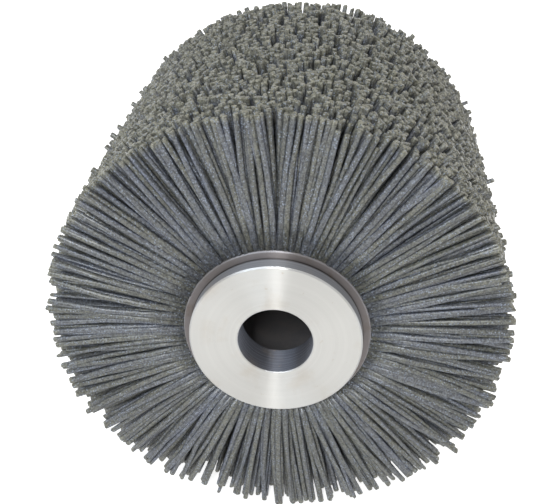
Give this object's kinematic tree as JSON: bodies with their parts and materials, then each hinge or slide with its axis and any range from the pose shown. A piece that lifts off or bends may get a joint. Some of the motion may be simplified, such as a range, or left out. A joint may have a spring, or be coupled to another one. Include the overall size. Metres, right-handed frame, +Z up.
{
  "type": "abrasive filament drum brush",
  "caption": "Wide-face drum brush: radial abrasive filaments on a keyed steel core tube between two flanged hubs bored for a machine shaft.",
  "frame": {"origin": "centre of the drum, on its axis", "axes": "+Y along the axis from the front hub to the rear hub, +Z up"},
  "size_m": [0.158, 0.138, 0.158],
  "materials": {
    "hub_steel": "turned, bright",
    "tube_steel": "mill finish",
    "plate_steel": "turned rim, sheet faces",
    "hardware_steel": "drawn",
    "filament": "grit-filled nylon, matt"
  },
  "bodies": {
    "root": {"anchor_hoop_1": "hardware_steel", "anchor_hoop_2": "hardware_steel", "anchor_hoop_3": "hardware_steel", "anchor_hoop_4": "hardware_steel", "anchor_hoop_5": "hardware_steel", "core_tube": "tube_steel", "drive_key": "hardware_steel", "filament_pack_1": "filament", "filament_pack_2": "filament", "filament_pack_3": "filament", "filament_pack_4": "filament", "filament_pack_5": "filament", "front_end_plate": "plate_steel", "front_hub": "hub_steel", "front_hub_pins": "hardware_steel", "rear_end_plate": "plate_steel", "rear_hub": "hub_steel", "rear_hub_pins": "hardware_steel", "spacer_plate_1": "plate_steel", "spacer_plate_2": "plate_steel", "spacer_plate_3": "plate_steel", "spacer_plate_4": "plate_steel"}
  },
  "joints": []
}
